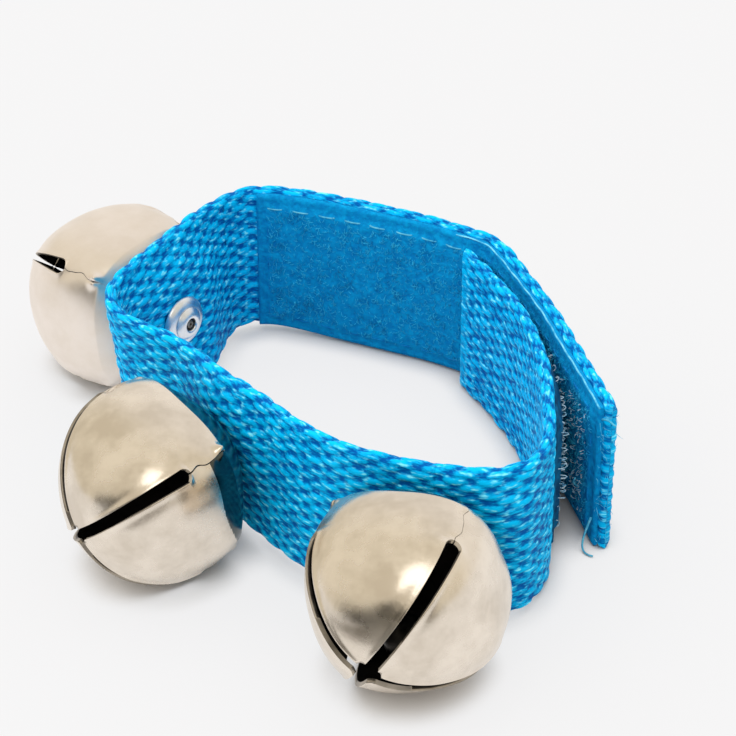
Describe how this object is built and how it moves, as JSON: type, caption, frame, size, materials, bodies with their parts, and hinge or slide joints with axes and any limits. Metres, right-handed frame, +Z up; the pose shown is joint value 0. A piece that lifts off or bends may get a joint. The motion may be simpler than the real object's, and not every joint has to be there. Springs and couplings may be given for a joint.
{
  "type": "wrist bells",
  "caption": "Webbing wrist strap with a hook-and-loop closure and folded sheet-metal jingle bells riveted along its outside, each with a loose pellet inside.",
  "frame": {"origin": "on the table, under the middle of the bounding box", "axes": "+Z up, across the webbing and along the wearer's forearm; +Y away from the viewer, from the front bells to the back bend; +X to the viewer's right, towards the closure"},
  "size_m": [0.091, 0.1064, 0.0282],
  "materials": {
    "bell_nickel": "satin nickel plate",
    "rivet_metal": "bright",
    "steel": "plain",
    "webbing": "plain weave",
    "tape": "nap",
    "thread": "twisted"
  },
  "bodies": {
    "band_front": {"strap_band_front": "webbing", "bell_2_rivet": "rivet_metal", "bell_2_washer": "rivet_metal", "bell_2_rivet_stem": "steel", "bell_3_rivet": "rivet_metal", "bell_3_washer": "rivet_metal", "bell_3_rivet_stem": "steel"},
    "band_side": {"strap_band_side": "webbing", "bell_1_rivet": "rivet_metal", "bell_1_washer": "rivet_metal", "bell_1_rivet_stem": "steel"},
    "tail": {"strap_tail": "webbing", "loop_tape": "tape", "loop_tape_stitching": "thread"},
    "tongue": {"strap_tongue": "webbing", "hook_tape": "tape", "hook_tape_stitching": "thread"},
    "bell_1": {"bell_1_shell": "bell_nickel"},
    "bell_2": {"bell_2_shell": "bell_nickel"},
    "bell_3": {"bell_3_shell": "bell_nickel"},
    "pellet_1": {"bell_1_pellet": "steel"},
    "pellet_2": {"bell_2_pellet": "steel"},
    "pellet_3": {"bell_3_pellet": "steel"}
  },
  "joints": [
    {"name": "side_opening", "type": "hinge", "parent": "band_front", "child": "band_side", "pos_m": [-0.02989, 0.01637, 0.01401], "axis": [-0.1201, -0.0204, 0.9925], "range_deg": [0, 80]},
    {"name": "tail_opening", "type": "hinge", "parent": "band_side", "child": "tail", "pos_m": [-0.01155, 0.0509, 0.0138], "axis": [0, 0, 1], "range_deg": [0, 100]},
    {"name": "tongue_bend", "type": "hinge", "parent": "band_front", "child": "tongue", "pos_m": [0.03237, -0.02325, 0.01332], "axis": [0.0081, -0.0033, 1], "range_deg": [0, 40]},
    {"name": "bell_1_turn", "type": "hinge", "parent": "band_side", "child": "bell_1", "pos_m": [-0.03161, 0.03937, 0.0134], "axis": [-0.7677, 0.6399, -0.0345], "continuous": true},
    {"name": "bell_2_turn", "type": "hinge", "parent": "band_front", "child": "bell_2", "pos_m": [-0.02264, -0.01365, 0.0136], "axis": [-0.7725, -0.6164, -0.1529], "continuous": true},
    {"name": "bell_3_turn", "type": "hinge", "parent": "band_front", "child": "bell_3", "pos_m": [0.01462, -0.03914, 0.01394], "axis": [-0.3311, -0.9068, -0.2608], "continuous": true},
    {"name": "pellet_1_rise", "type": "slide", "parent": "bell_1", "child": "pellet_1", "axis": [0, 0, 1], "range_m": [0, 0.0176]},
    {"name": "pellet_2_rise", "type": "slide", "parent": "bell_2", "child": "pellet_2", "axis": [0, 0, 1], "range_m": [0, 0.0176]},
    {"name": "pellet_3_rise", "type": "slide", "parent": "bell_3", "child": "pellet_3", "axis": [0, 0, 1], "range_m": [0, 0.0176]}
  ]
}
